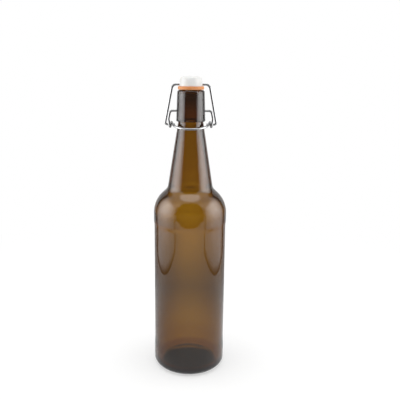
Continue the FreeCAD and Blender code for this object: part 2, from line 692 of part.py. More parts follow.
def make_lever_wire():
    """The lower wire: a round section swept along its bent centre line."""
    centre_line = lever_route()
    route = doc.addObject("Part::Feature", "lever_route")
    route.Shape = centre_line
    route.setExpression("Placement.Base.z", PIVOT_Z)
    ring = doc.addObject("Part::Circle", "lever_wire_section")
    ring.setExpression("Radius", "Dim.wire_diameter / 2")
    ring.Placement = Placement(Vector(), Rotation(Vector(0, 1, 0), 90))
    ring.setExpression("Placement.Base.x", STUB_X)
    ring.setExpression("Placement.Base.z", PIVOT_Z)
    doc.recompute()
    lever = doc.addObject("Part::Sweep", "lever_wire")
    lever.Label = "lever_wire"
    lever.Sections = [ring]
    lever.Spine = (route, [f"Edge{number}" for number in range(1, len(route.Shape.Edges) + 1)])
    lever.Solid = True
    doc.recompute()
    expected = math.pi * value("Dim.wire_diameter / 2") ** 2 * centre_line.Length
    print(f"lever wire {lever.Shape.Volume:.1f} mm3, section times length {expected:.1f} mm3")
    return lever


def check_and_write(pieces):
    """Stop on any failed object or bad solid, then write each piece to its own file."""
    doc.recompute()
    for item in doc.Objects:
        if "Invalid" in item.State or "Error" in item.State:
            raise RuntimeError(f"{item.Label} failed: {item.State}")
    for piece in pieces:
        shape = piece.Shape
        if shape.isNull() or not shape.isValid() or len(shape.Solids) != 1:
            raise RuntimeError(f"{piece.Label} is not one sound solid")
    os.makedirs("parts", exist_ok=True)
    for piece in pieces:
        piece.Shape.exportStep(f"parts/{piece.Label}.step")
        print(f"{piece.Label}: {piece.Shape.Volume / 1000:.2f} cm3")


check_and_write([
    make_glass_bottle(),
    make_stopper_head(),
    make_rubber_gasket(),
    make_stopper_bail(),
    make_lever_wire(),
])
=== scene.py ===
# %% [markdown]
# A swing top bottle, dressed for its portrait
#
# The bottle arrives here as a measured model: five solids that already sit where they belong and already know how
# they move. This lesson gives each of them a fine mesh and a real finish. Nothing is resized: the bottle's sizes
# are its real ones, in millimetres, and each finished piece stands where its solid stands. The studio round it, and
# the patterns in the finishes, are given in metres.

# %% Load the measured model
import math

import bmesh
import bpy
from mathutils import Matrix, Vector, noise


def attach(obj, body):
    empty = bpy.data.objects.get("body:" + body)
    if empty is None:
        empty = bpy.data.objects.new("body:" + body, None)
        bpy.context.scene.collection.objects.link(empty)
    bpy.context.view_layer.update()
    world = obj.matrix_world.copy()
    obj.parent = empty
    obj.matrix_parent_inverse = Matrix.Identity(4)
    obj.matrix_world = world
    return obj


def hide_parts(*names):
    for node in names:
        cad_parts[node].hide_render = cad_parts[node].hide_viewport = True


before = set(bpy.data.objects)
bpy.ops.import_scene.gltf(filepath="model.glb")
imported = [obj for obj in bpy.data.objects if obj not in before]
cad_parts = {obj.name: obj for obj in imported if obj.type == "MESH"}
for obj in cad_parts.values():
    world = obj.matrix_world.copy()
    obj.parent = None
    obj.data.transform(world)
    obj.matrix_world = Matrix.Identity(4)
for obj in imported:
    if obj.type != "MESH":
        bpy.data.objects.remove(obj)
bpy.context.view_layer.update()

MM = 0.001
print("pieces:", sorted(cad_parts))

# %% [markdown]
# The camera comes first, because everything is judged through it. The bottle was photographed from a little above
# its lip, close enough that the barrel looks narrower towards its foot. Matching the outline of the bottle gives
# the distance, the height and the tilt. A small shift puts the bottle left of the middle without turning the
# camera.

# %% Camera
CAMERA_DISTANCE = 483.6 * MM
CAMERA_HEIGHT = 280.1 * MM
CAMERA_TILT_DEG = 11.74
CAMERA_ROLL_DEG = 0.45
FRAME_PX = 400
FOCAL_PX = 527.7
AXIS_PX = 190.25
HORIZON_PX = 183.1
SENSOR_MM = 36.0

camera_data = bpy.data.cameras.new("portrait")
camera_data.sensor_width = SENSOR_MM
camera_data.lens = FOCAL_PX / FRAME_PX * SENSOR_MM
camera_data.shift_x = 0.5 - AXIS_PX / FRAME_PX
camera_data.shift_y = HORIZON_PX / FRAME_PX - 0.5
camera = bpy.data.objects.new("portrait", camera_data)
camera.location = (0, -CAMERA_DISTANCE, CAMERA_HEIGHT)
camera.rotation_mode = "ZYX"
camera.rotation_euler = (math.radians(90 - CAMERA_TILT_DEG), 0, math.radians(CAMERA_ROLL_DEG))
bpy.context.scene.collection.objects.link(camera)
bpy.context.scene.camera = camera
print(f"lens {camera_data.lens:.1f} mm")

# %% [markdown]
# Glass, stopper and gasket are all turned shapes, so half of an outline says everything about them. A section is
# drawn the way a draughtsman draws it: straight runs with a ruler, arcs with a compass. Extruding one vertex makes
# a run, and spinning one vertex about the compass point makes an arc. Typing in lists of points would hide which
# curve is which. Two points less than a micrometre apart count as one.

# %% Ruler and compass
TOUCH = 1e-6


def spot(x, z):
    return Vector((x * MM, 0, z * MM))


class Section:
    """Half of a turned piece's outline, drawn in the XZ plane from one point to the next."""

    def __init__(self, x, z):
        self.bm = bmesh.new()
        self.inner = self.bm.verts.layers.int.new("inner")
        self.tip = self.bm.verts.new(spot(x, z))

    def reach(self, end, parts=1):
        start = self.tip.co.copy()
        for part in range(1, parts + 1):
            self.tip = bmesh.ops.extrude_vert_indiv(self.bm, verts=[self.tip])["verts"][0]
            self.tip.co = start.lerp(end, part / parts)

    def line(self, x, z, parts=1):
        """A straight run, cut into equal parts."""
        self.reach(spot(x, z), parts)

    def sweep(self, pin, end, steps):
        first, last = (math.atan2(arm.x, arm.z) for arm in (self.tip.co - pin, end - pin))
        turn = math.remainder(last - first, 2 * math.pi)
        swept = bmesh.ops.spin(self.bm, geom=[self.tip], cent=pin, axis=(0, 1, 0), angle=turn, steps=steps)
        self.tip = next(item for item in swept["geom_last"] if isinstance(item, bmesh.types.BMVert))

    def arc(self, pin, x, z, steps):
        """An arc about a compass point."""
        self.sweep(spot(*pin), spot(x, z), steps)

    def corner(self, x, z, radius, onward, steps=8, parts=1):
        """A run towards a corner that is rounded before the run onward starts."""
        corner = spot(x, z)
        inward = (corner - self.tip.co).normalized()
        outward = (spot(*onward) - corner).normalized()
        trim = radius * MM * math.tan(inward.angle(outward) / 2)
        leave = corner - inward * trim
        side = (outward - inward * outward.dot(inward)).normalized()
        if (leave - self.tip.co).length > TOUCH:
            self.reach(leave, parts)
        self.sweep(leave + side * radius * MM, corner + outward * trim, steps)


# %% [markdown]
# The glass is one blown piece. Outside it runs from the hollow under the base (the punt) over the bearing ring, up
# the straight barrel, round the shoulder, up the slim neck, and over the thick collar to the lip. The barrel is a
# trace slimmer between heel and shoulder. Inside, the outline runs back down the bore to a domed floor. Both sides
# are drawn in one go, so the wall has a thickness of its own at every height. That is what makes glass look like
# glass: light is bent and coloured by the wall it crosses.

# %% The outline of the glass
BODY_R = 34.0
GLASS_TOP = 265.5
WAIST_R, WAIST_FOOT, WAIST_TOP = 33.55, 17.5, 143.7
FOOT_BLEND, FOOT_EDGE = 10.0, 90.0
TOP_BLEND, TOP_EDGE = 3.4, 24.0
SHOULDER_CORNER, SHOULDER_RADIUS = (BODY_R, 163.25), 25.4
NECK_CORNER, NECK_FILLET = (21.06, 174.99), 9.0
NECK_TOP = (11.4, 237.4)
COLLAR_FOOT, COLLAR_EDGE = (13.3, 237.4), 0.8
COLLAR_TOP, LIP_OUTSIDE, LIP_INSIDE = (12.4, GLASS_TOP), 2.0, 1.2
BORE_R = 8.0
BORE_FOOT = (BORE_R, 237.14)
CAVITY_R = 30.6
INNER_NECK_CORNER, INNER_NECK_FILLET = (17.885, 173.284), 21.0
INNER_SHOULDER_CORNER, INNER_SHOULDER_RADIUS = (CAVITY_R, 161.742), 22.0
PUNT_TOP, PUNT_RADIUS = 5.0, 67.525
BEARING_R, HEEL_RADIUS = 25.5, 6.5
DOME_TOP = 8.0
DOME_PIN = (0, PUNT_TOP - PUNT_RADIUS)
INNER_HEEL_PIN, INNER_HEEL_END = (24.6, 9.938), (22.671, 4.257)

glass_section = Section(0, PUNT_TOP)
glass_section.arc(DOME_PIN, BEARING_R, 0, steps=16)
glass_section.corner(BODY_R, 0, HEEL_RADIUS, SHOULDER_CORNER, steps=12, parts=3)
glass_section.corner(BODY_R, WAIST_FOOT, FOOT_EDGE, (WAIST_R, WAIST_FOOT + FOOT_BLEND), steps=5, parts=2)
glass_section.corner(WAIST_R, WAIST_FOOT + FOOT_BLEND, FOOT_EDGE, (WAIST_R, WAIST_TOP), steps=5)
glass_section.corner(WAIST_R, WAIST_TOP - TOP_BLEND, TOP_EDGE, (BODY_R, WAIST_TOP), steps=5, parts=28)
glass_section.corner(BODY_R, WAIST_TOP, TOP_EDGE, SHOULDER_CORNER, steps=5)
glass_section.corner(*SHOULDER_CORNER, SHOULDER_RADIUS, NECK_CORNER, steps=24, parts=4)
glass_section.corner(*NECK_CORNER, NECK_FILLET, NECK_TOP, steps=18)
glass_section.line(*NECK_TOP, parts=16)
glass_section.corner(*COLLAR_FOOT, COLLAR_EDGE, COLLAR_TOP, steps=6)
glass_section.corner(*COLLAR_TOP, LIP_OUTSIDE, (BORE_R, GLASS_TOP), steps=10, parts=28)
glass_section.corner(BORE_R, GLASS_TOP, LIP_INSIDE, BORE_FOOT, steps=8)

outer_points = len(glass_section.bm.verts)
glass_section.line(*BORE_FOOT, parts=12)
glass_section.corner(*INNER_NECK_CORNER, INNER_NECK_FILLET, INNER_SHOULDER_CORNER, steps=18, parts=18)
glass_section.corner(*INNER_SHOULDER_CORNER, INNER_SHOULDER_RADIUS, (CAVITY_R, INNER_HEEL_PIN[1]), steps=24)
glass_section.line(CAVITY_R, INNER_HEEL_PIN[1], parts=36)
glass_section.arc(INNER_HEEL_PIN, *INNER_HEEL_END, steps=14)
glass_section.arc(DOME_PIN, 0, DOME_TOP, steps=16)
glass_section.bm.verts.ensure_lookup_table()
for vert in glass_section.bm.verts[outer_points:]:
    vert[glass_section.inner] = 1
print(f"outline of {len(glass_section.bm.verts)} points, {outer_points} of them outside")

# %% [markdown]
# A lathe makes the solid: the whole outline is spun once about the bottle's axis. The spin leaves a seam and poles
# open, so they are closed, and the faces are turned outwards.

# %% The lathe
def turn(section, segments):
    """Spin a section once round the Z axis, close its seam and its poles, and face it outwards."""
    bm = section.bm
    bmesh.ops.spin(bm, geom=bm.verts[:] + bm.edges[:], cent=(0, 0, 0), axis=(0, 0, 1),
                   angle=2 * math.pi, steps=segments, use_merge=True)
    bmesh.ops.remove_doubles(bm, verts=bm.verts[:], dist=TOUCH)
    bmesh.ops.recalc_face_normals(bm, faces=bm.faces[:])
    return bm


def as_object(bm, name):
    for face in bm.faces:
        face.smooth = True
    mesh = bpy.data.meshes.new(name)
    bm.to_mesh(mesh)
    bm.free()
    piece = bpy.data.objects.new(name, mesh)
    bpy.context.scene.collection.objects.link(piece)
    return piece


# %% [markdown]
# A mould shapes the outside of a bottle, and only breath shapes the inside. So the outside is true apart from the
# fine seam where the two halves of the mould met, front and back. Inside, the wall is blown thinner in the shoulder
# and wanders by a fraction of a millimetre in long upright streaks. The seam is one column of vertices lifted a
# little. Thinning and streaks move the inner vertices along their normals, the streaks by a smooth noise that is
# stretched along the bottle. Near the mouth, where the mould forms the bore too, the streaks die out.

# %% Turn the glass and blow its inside
GLASS_SEGMENTS = 256
SEAM_LIFT = 0.03
SEAM_FROM, SEAM_TO = 26.0, 236.0
SEAM_REACH = BODY_R - SEAM_LIFT
STREAK_DEPTH = 0.16
STREAK_SCALE = Vector((52, 52, 9))
THIN_AT, THIN_REACH, THIN_DEPTH = 158.0, 20.0, 0.7
STILL_ABOVE, MOVING_BELOW = 236.0, 205.0

bottle_bm = turn(glass_section, GLASS_SEGMENTS)
inner = bottle_bm.verts.layers.int["inner"]
seam_points = 0
for vert in bottle_bm.verts:
    height = vert.co.z / MM
    if vert[inner]:
        share = min(1.0, max(0.0, (STILL_ABOVE - height) / (STILL_ABOVE - MOVING_BELOW)))
        thin = max(0.0, 1 - ((height - THIN_AT) / THIN_REACH) ** 2) ** 2
        streak = STREAK_DEPTH * share * noise.noise(vert.co * STREAK_SCALE)
        vert.co += vert.normal * ((streak - THIN_DEPTH * thin) * MM)
    elif (abs(vert.co.x) < TOUCH and SEAM_FROM < height < SEAM_TO
          and abs(vert.co.y) < SEAM_REACH * MM):
        vert.co.y += math.copysign(SEAM_LIFT * MM, vert.co.y)
        seam_points += 1
bottle = as_object(bottle_bm, "bottle_glass")
print(f"seam lifted at {seam_points} points")

# %% [markdown]
# Holes are made by a cutter, which is turned like any other piece, laid on its side along X and taken away. A piece
# that is ready is seated: its real edges are creased, it takes the place of its solid, and it moves with its body.

# %% Cutting and seating
CUTTER_SEGMENTS = 48
CREASE_DEG = 38


def seat(piece, body, node):
    """Crease the real edges, put the piece in the place of its solid, and let it move with its body."""
    piece.data.set_sharp_from_angle(angle=math.radians(CREASE_DEG))
    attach(piece, body)
    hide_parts(node)
    piece.data.calc_loop_triangles()
    print(f"{piece.name}: {len(piece.data.loop_triangles)} triangles, rides on {body}")


def lay_across(bm, height, side=1):
    """Lay a turned cutter along X, at a height on the bottle."""
    lie = Matrix.Translation((0, 0, height * MM)) @ Matrix.Rotation(side * math.pi / 2, 4, "Y")
    bmesh.ops.transform(bm, matrix=lie, verts=bm.verts[:])


def cut_away(piece, cutter):
    """Take one solid away from another, as a drill or a mould pin does."""
    modifier = piece.modifiers.new("cut", "BOOLEAN")
    modifier.operation = "DIFFERENCE"
    modifier.solver = "EXACT"
    modifier.object = cutter
    done = piece.evaluated_get(bpy.context.evaluated_depsgraph_get())
    mesh = bpy.data.meshes.new_from_object(done)
    piece.modifiers.clear()
    piece.data = mesh
    bpy.data.objects.remove(cutter)


# %% [markdown]
# Each side of the collar has a small blind socket with a flared mouth, where an end of the lever wire turns. It is
# cut once on the right and once on the left.

# %% Sockets for the lever
PIVOT_Z = 246.8
SOCKET_R, SOCKET_FLOOR, SOCKET_EDGE = 1.08, 9.999, 0.3
FLARE_FROM, FLARE_TO = 12.399, 14.1


def socket_cutter(side):
    pin = Section(0, SOCKET_FLOOR)
    pin.corner(SOCKET_R, SOCKET_FLOOR, SOCKET_EDGE, (SOCKET_R, FLARE_FROM), steps=3)
    pin.line(SOCKET_R, FLARE_FROM)
    pin.line(SOCKET_R + FLARE_TO - FLARE_FROM, FLARE_TO)
    pin.line(0, FLARE_TO)
    bm = turn(pin, CUTTER_SEGMENTS)
    lay_across(bm, PIVOT_Z, side)
    return as_object(bm, "socket_cutter")


for side in (1, -1):
    cut_away(bottle, socket_cutter(side))
seat(bottle, "bottle", "glass_bottle")

# %% [markdown]
# The stopper is moulded in white plastic: a slightly tapered head with a rounded edge and a low crown, and below
# it a stem that ends in a bead. The bead is wider than the gasket's hole and holds the gasket on. The bail wire
# passes through a cross hole in the head, drilled here by the same kind of cutter.

# %% Stopper
TURNED_SEGMENTS = 128
STOPPER_FOOT = 261.3
BEAD_R, BEAD_TOP, STEM_R = 6.3, 265.3, 5.4
BEAD_FOOT_EDGE, BEAD_TOP_EDGE = 0.9, 0.15
HEAD_FOOT, HEAD_R, HEAD_TOP_R, HEAD_RIM, HEAD_TOP = 268.7, 10.55, 9.8, 277.3, 278.2
HEAD_FOOT_EDGE, HEAD_TOP_EDGE = 0.25, 2.6
CROWN_MARGIN = 0.2
CROWN_RADIUS = (HEAD_TOP_R ** 2 + (HEAD_TOP - HEAD_RIM) ** 2) / (2 * (HEAD_TOP - HEAD_RIM))
CROSS_HOLE_Z, CROSS_HOLE_R, DRILL_REACH = 270.4, 1.08, 14.0

head_section = Section(0, STOPPER_FOOT)
head_section.corner(BEAD_R, STOPPER_FOOT, BEAD_FOOT_EDGE, (BEAD_R, BEAD_TOP), steps=6)
head_section.corner(BEAD_R, BEAD_TOP, BEAD_TOP_EDGE, (STEM_R, BEAD_TOP), steps=2)
head_section.line(STEM_R, BEAD_TOP)
head_section.line(STEM_R, HEAD_FOOT, parts=4)
head_section.corner(HEAD_R, HEAD_FOOT, HEAD_FOOT_EDGE, (HEAD_TOP_R, HEAD_RIM), steps=3)
head_section.corner(HEAD_TOP_R, HEAD_RIM, HEAD_TOP_EDGE, (0, HEAD_TOP), steps=10, parts=14)
head_section.line(0, HEAD_TOP, parts=8)
stopper_bm = turn(head_section, TURNED_SEGMENTS)
for vert in stopper_bm.verts:
    reach = math.hypot(vert.co.x, vert.co.y) / MM
    if vert.co.z / MM > HEAD_RIM - CROWN_MARGIN and reach < HEAD_TOP_R:
        crown = HEAD_TOP - CROWN_RADIUS + math.sqrt(CROWN_RADIUS ** 2 - reach ** 2)
        vert.co.z = min(vert.co.z, crown * MM)
stopper = as_object(stopper_bm, "stopper_cap")

drill = Section(0, -DRILL_REACH)
drill.line(CROSS_HOLE_R, -DRILL_REACH)
drill.line(CROSS_HOLE_R, DRILL_REACH, parts=2)
drill.line(0, DRILL_REACH)
drill_bm = turn(drill, CUTTER_SEGMENTS)
lay_across(drill_bm, CROSS_HOLE_Z)
cut_away(stopper, as_object(drill_bm, "cross_drill"))
seat(stopper, "stopper", "stopper_head")

# %% [markdown]
# The gasket is a thick rubber ring. Its top is flat against the stopper's head, its rim is rounded, and underneath
# it is a cone that closes on the inner edge of the lip. Rubber leaves its mould with a fine flash line round the
# middle of the rim, so the section has a small ridge there.

# %% Gasket
GASKET_FOOT = BEAD_TOP
GASKET_HOLE_R, NOSE_R, RIM_R = 5.45, 5.945, 11.8
SKIRT_Z, GASKET_TOP = GASKET_FOOT + 0.6, GASKET_FOOT + 3.4
NOSE_EDGE, RIM_EDGE = 0.3, 0.5
FLASH = 0.07
flash_z = (SKIRT_Z + GASKET_TOP) / 2

gasket_section = Section(GASKET_HOLE_R, GASKET_FOOT)
gasket_section.corner(NOSE_R, GASKET_FOOT, NOSE_EDGE, (RIM_R, SKIRT_Z), steps=3)
gasket_section.corner(RIM_R, SKIRT_Z, RIM_EDGE, (RIM_R, flash_z - 2 * FLASH), steps=6, parts=5)
gasket_section.line(RIM_R, flash_z - 2 * FLASH)
gasket_section.line(RIM_R + FLASH, flash_z - FLASH / 2)
gasket_section.line(RIM_R + FLASH, flash_z + FLASH / 2)
gasket_section.line(RIM_R, flash_z + 2 * FLASH)
gasket_section.corner(RIM_R, GASKET_TOP, RIM_EDGE, (GASKET_HOLE_R, GASKET_TOP), steps=6)
gasket_section.line(GASKET_HOLE_R, GASKET_TOP, parts=4)
gasket_section.line(GASKET_HOLE_R, GASKET_FOOT, parts=4)
gasket = as_object(turn(gasket_section, TURNED_SEGMENTS), "seal_ring")
seat(gasket, "stopper", "rubber_gasket")

# %% [markdown]
# Both wires are bent from round steel. A wire bender feeds the wire straight and turns it round a pin, and the
# same two moves make the mesh: a ring of vertices is extruded along its heading, or spun about a pin. Each wire is
# the same left and right, so one half is bent and mirrored. Every vertex also remembers where it sat on the
# straight wire, because the fine lines that the drawing die leaves follow the wire round its bends.

# %% The bending bench
WIRE_R = 1.0
WIRE_SIDES = 20
END_CHAMFER = 0.3
BEND_STEP_DEG = 7.5


class Wire:
    """Half of a bent wire: a ring of vertices, fed and turned from its start."""

    def __init__(self, start, heading, cut=False):
        self.bm = bmesh.new()
        self.place, self.heading, self.run = Vector(start), Vector(heading).normalized(), 0.0
        self.drawn = self.bm.verts.layers.float_vector.new("drawn")
        ring = bmesh.ops.create_circle(self.bm, segments=WIRE_SIDES, radius=WIRE_R * MM)["verts"]
        for vert in ring:
            vert[self.drawn] = vert.co
        aim = Vector((0, 0, 1)).rotation_difference(self.heading).to_matrix().to_4x4()
        bmesh.ops.transform(self.bm, matrix=Matrix.Translation(self.place * MM) @ aim, verts=ring)
        self.edges = self.bm.edges[:]
        if cut:
            bmesh.ops.contextual_create(self.bm, geom=self.edges)
            self.swell(1 - END_CHAMFER / WIRE_R)
            self.feed(END_CHAMFER, wider=1 / (1 - END_CHAMFER / WIRE_R))

    def ring(self):
        return list({vert for edge in self.edges for vert in edge.verts})

    def grow(self, geom, length):
        """Take a new ring as the wire's end, and note how much wire lies behind it."""
        self.edges = [item for item in geom if isinstance(item, bmesh.types.BMEdge)]
        self.run += length
        for vert in self.ring():
            across = vert[self.drawn]
            vert[self.drawn] = (across.x, across.y, self.run * MM)

    def swell(self, factor):
        """Scale the end ring about the middle of the wire."""
        centre = self.place * MM
        for vert in self.ring():
            vert.co = centre + (vert.co - centre) * factor

    def feed(self, length, wider=1.0):
        extruded = bmesh.ops.extrude_edge_only(self.bm, edges=self.edges)["geom"]
        fresh = [item for item in extruded if isinstance(item, bmesh.types.BMVert)]
        ends = set(fresh)
        edges = [item for item in extruded if isinstance(item, bmesh.types.BMEdge) and set(item.verts) <= ends]
        bmesh.ops.translate(self.bm, vec=self.heading * length * MM, verts=fresh)
        self.place = self.place + self.heading * length
        self.grow(edges, length)
        self.swell(wider)

    def turn(self, pin, axis, angle, climb=0.0):
        """Spin the end about a pin; climb moves it along the pin's axis meanwhile, as in a coil."""
        pin, axis = Vector(pin), Vector(axis).normalized()
        steps = max(1, math.ceil(math.degrees(abs(angle)) / BEND_STEP_DEG))
        arm = (self.place - pin).length
        for step in range(steps):
            spun = bmesh.ops.spin(self.bm, geom=self.ring() + self.edges, cent=pin * MM, axis=axis,
                                  dvec=axis * (climb / steps * MM), angle=angle / steps, steps=1)
            self.grow(spun["geom_last"], math.hypot(arm * angle, climb) / steps)
            pin = pin + axis * (climb / steps)
        twist = Matrix.Rotation(angle, 3, axis)
        self.place = pin + twist @ (self.place - (pin - axis * climb))
        self.heading = twist @ self.heading

    def go_round(self, corner, onward, radius):
        """Feed towards a corner, and bend round it to face the point onward."""
        corner, onward = Vector(corner), Vector(onward)
        outward = (onward - corner).normalized()
        bend = self.heading.angle(outward)
        trim = radius * math.tan(bend / 2)
        self.feed((corner - self.place).length - trim)
        axis = self.heading.cross(outward).normalized()
        self.turn(self.place + axis.cross(self.heading) * radius, axis, bend)

    def cap(self):
        """A chamfered cut end."""
        self.feed(END_CHAMFER, wider=1 - END_CHAMFER / WIRE_R)
        bmesh.ops.contextual_create(self.bm, geom=self.edges)

    def mirrored(self, name):
        bmesh.ops.mirror(self.bm, geom=self.bm.verts[:] + self.bm.edges[:] + self.bm.faces[:],
                         axis="X", merge_dist=TOUCH)
        bmesh.ops.remove_doubles(self.bm, verts=self.bm.verts[:], dist=TOUCH)
        bmesh.ops.recalc_face_normals(self.bm, faces=self.bm.faces[:])
        return as_object(self.bm, name)


# %% [markdown]
# The bail is the upper wire. From the middle of the stopper it runs out through the cross hole, bends down past
# the collar, and hooks inwards through the eye of the lever. It lies in one plane that leans a little forward, from
# the eyes up to the stopper.

# %% Bail
EYE_Y, EYE_Z = 2.2, 234.2
STOPPER_Y, STOPPER_Z = 0.0, CROSS_HOLE_Z
CREST_X, CREST_RADIUS = 13.15, 4.4
FOOT_X, FOOT_RADIUS, FOOT_END_X = 21.509, 1.8, 14.5

out = Vector((1, 0, 0))
up = Vector((0, STOPPER_Y - EYE_Y, STOPPER_Z - EYE_Z))
bail_length = up.length
up.normalize()
eye = Vector((0, EYE_Y, EYE_Z))
crest_pin = eye + out * CREST_X + up * (bail_length - CREST_RADIUS)
foot_pin = eye + out * FOOT_X + up * FOOT_RADIUS
span = foot_pin - crest_pin
pin_lean = math.atan2(span.dot(out), -span.dot(up))
leg_lean = pin_lean + math.asin((FOOT_RADIUS - CREST_RADIUS) / span.length)
bend_axis = out.cross(up)

bail_wire = Wire((0, STOPPER_Y, STOPPER_Z), out)
bail_wire.feed(CREST_X)
bail_wire.turn(crest_pin, bend_axis, leg_lean - math.pi / 2)
bail_wire.feed(math.sqrt(span.length ** 2 - (FOOT_RADIUS - CREST_RADIUS) ** 2))
bail_wire.turn(foot_pin, bend_axis, -math.pi / 2 - leg_lean)
bail_wire.feed(FOOT_X - FOOT_END_X - END_CHAMFER)
bail_wire.cap()
print(f"bail: {2 * bail_wire.run:.0f} mm of wire, leg leans {math.degrees(leg_lean):.1f} degrees")
bail = bail_wire.mirrored("bail_wire")
seat(bail, "bail", "stopper_bail")

# %% [markdown]
# The lever is the lower wire, and the piece that takes the most bending. Each end sits in a socket of the collar.
# From there the wire steps out, swells round a soft bulge, runs down into a coiled eye that holds the bail, and
# comes forward into the bow that the thumb pushes. The coil is a spin that also travels along its own axis.

# %% Lever
STUB_X = 10.299
CRANK, CRANK_RADIUS = (18.8, 0, PIVOT_Z), 3.0
BULGE, BULGE_RADIUS = (20.4, 0, PIVOT_Z - 7.5), 5.0
EYE_START = (19.459, 0, EYE_Z)
EYE_TURN_DEG, EYE_CLIMB = 282.2, 2.0
BOW_LEAD, BOW_SIDE_RADIUS, BOW_RADIUS, BOW_FRONT = 3.0, 5.0, 16.2, 21.274
BOW_SLOPE = math.radians(12.2)

lever_wire = Wire((STUB_X, 0, PIVOT_Z), out, cut=True)
lever_wire.go_round(CRANK, BULGE, CRANK_RADIUS)
lever_wire.go_round(BULGE, EYE_START, BULGE_RADIUS)
lever_wire.feed((Vector(EYE_START) - lever_wire.place).length)
lever_wire.turn((EYE_START[0], EYE_Y, EYE_Z), -out, -math.radians(EYE_TURN_DEG), climb=EYE_CLIMB)
eye_end = lever_wire.place.copy()

forward = Vector((0, -math.cos(BOW_SLOPE), -math.sin(BOW_SLOPE)))
bow_pin = Vector((0, eye_end.y, eye_end.z)) + forward * (BOW_FRONT - BOW_RADIUS)
side_corner = eye_end + lever_wire.heading * BOW_LEAD
arm = side_corner - bow_pin
touch_angle = math.atan2(arm.dot(forward), arm.x) + math.acos(BOW_RADIUS / arm.length)
touch = bow_pin + BOW_RADIUS * (out * math.cos(touch_angle) + forward * math.sin(touch_angle))
lever_wire.go_round(side_corner, touch, BOW_SIDE_RADIUS)
lever_wire.feed((touch - lever_wire.place).length)
bow_axis = out.cross(forward)
lever_wire.turn(bow_pin, bow_axis, math.pi / 2 - touch_angle)
print(f"lever: {2 * lever_wire.run:.0f} mm of wire, bow ends at x = {lever_wire.place.x:.4f}")
lever = lever_wire.mirrored("thumb_lever")
seat(lever, "lever", "lever_wire")

# %% [markdown]
# Finishes are built from nodes, and node maths is easier to read as plain sums. A small class stands for one
# socket: adding, subtracting or scaling it in Python adds the Math node that does the same for every point of the
# surface. Every other node comes from one method, which sets the node up and joins its sockets.

# %% Sums on sockets
class Sum:
    """One socket of a node tree; sums written with it become Math nodes."""

    def __init__(self, tree, socket):
        self.tree, self.socket = tree, socket

    def __add__(self, other):
        return self.tree.maths("ADD", self, other)

    def __sub__(self, other):
        return self.tree.maths("SUBTRACT", self, other)

    def __rsub__(self, other):
        return self.tree.maths("SUBTRACT", other, self)

    def __mul__(self, other):
        return self.tree.maths("MULTIPLY", self, other)

    def __pow__(self, other):
        return self.tree.maths("POWER", self, other)

    __radd__ = __add__
    __rmul__ = __mul__


class Tree:
    """The nodes of one finish."""

    def __init__(self, owner):
        owner.use_nodes = True
        self.tree = owner.node_tree
        self.tree.nodes.clear()

    def node(self, kind, settings=None, inputs=None, output=0):
        node = self.tree.nodes.new(kind)
        for name, setting in (settings or {}).items():
            if name == "stops":
                ramp = node.color_ramp.elements
                for index, (position, colour) in enumerate(setting):
                    stop = ramp[index] if index < len(ramp) else ramp.new(position)
                    stop.position, stop.color = position, (*colour, 1)
            else:
                setattr(node, name, setting)
        for name, given in (inputs or {}).items():
            if isinstance(given, Sum):
                self.tree.links.new(given.socket, node.inputs[name])
            else:
                node.inputs[name].default_value = given
        return Sum(self, node.outputs[output]) if node.outputs else node

    def maths(self, operation, first, second):
        return self.node("ShaderNodeMath", {"operation": operation}, {0: first, 1: second})

    def place(self):
        return self.node("ShaderNodeTexCoord", output="Object")

    def part(self, where, axis):
        return self.node("ShaderNodeSeparateXYZ", {}, {0: where}, output=axis)

    def size(self, value):
        """A value without its sign."""
        return self.maths("ABSOLUTE", value, 0)

    def grain(self, where, scale, detail=2.0, roughness=0.5):
        """Smooth noise about 0.5, with scale given in ripples per metre."""
        return self.node("ShaderNodeTexNoise", {"noise_dimensions": "3D"},
                         {"Vector": where, "Scale": scale, "Detail": detail, "Roughness": roughness})

    def stretch(self, where, scale):
        return self.node("ShaderNodeMapping", {}, {"Vector": where, "Scale": scale})

    def between(self, value, low, high):
        """0 below low, 1 above high and a smooth step between."""
        return self.node("ShaderNodeMapRange", {"interpolation_type": "SMOOTHSTEP"},
                         {"Value": value, "From Min": low, "From Max": high})

    def mix(self, share, first, second):
        return self.node("ShaderNodeMix", {"data_type": "RGBA"}, {0: share, 6: first, 7: second}, output=2)

    def bump(self, height, distance, strength):
        return self.node("ShaderNodeBump", {}, {"Height": height, "Distance": distance, "Strength": strength})


def finish(name):
    material = bpy.data.materials.new(name)
    return material, Tree(material)


def wear(piece, material):
    piece.data.materials.clear()
    piece.data.materials.append(material)
    print(f"{piece.name} wears {material.name}: {len(material.node_tree.nodes)} nodes")


# %% [markdown]
# Amber glass is clear glass with iron, sulphur and carbon in it, and the colour sits in the body of the glass, not
# on its skin. So the surface only bends and reflects light, and a volume inside the wall takes up blue most, green
# less and red least: thin walls look golden and the thick collar almost black. The skin has faint ripples from the
# mould, a few breath marks that dull it slightly, and a stippled bearing ring under the base.

# %% Amber glass
GLASS_IOR = 1.52
AMBER, AMBER_DENSITY = (0.716, 0.581, 0.0, 1), 1000.0
CLEAR, BREATHED = (1.0, 1.0, 1.0, 1), (0.96, 0.94, 0.9, 1)
RIPPLE_SCALE, PEEL_SCALE, BREATH_SCALE, STIPPLE_SCALE = 46, 420, 30, 900.0
RIPPLE_STRETCH = (1, 1, 0.35)
RIPPLE_SHARE, PEEL_SHARE, STIPPLE_SHARE = 0.75, 0.015, 0.8
BREATH_FROM, BREATH_TO = 0.52, 0.72
BEARING_FROM, BEARING_TO = 0.0002, 0.0014
POLISHED, BREATH_DULL, BEARING_DULL = 0.006, 0.025, 0.2
SKIN_DEPTH, SKIN_STRENGTH = 0.0004, 0.25

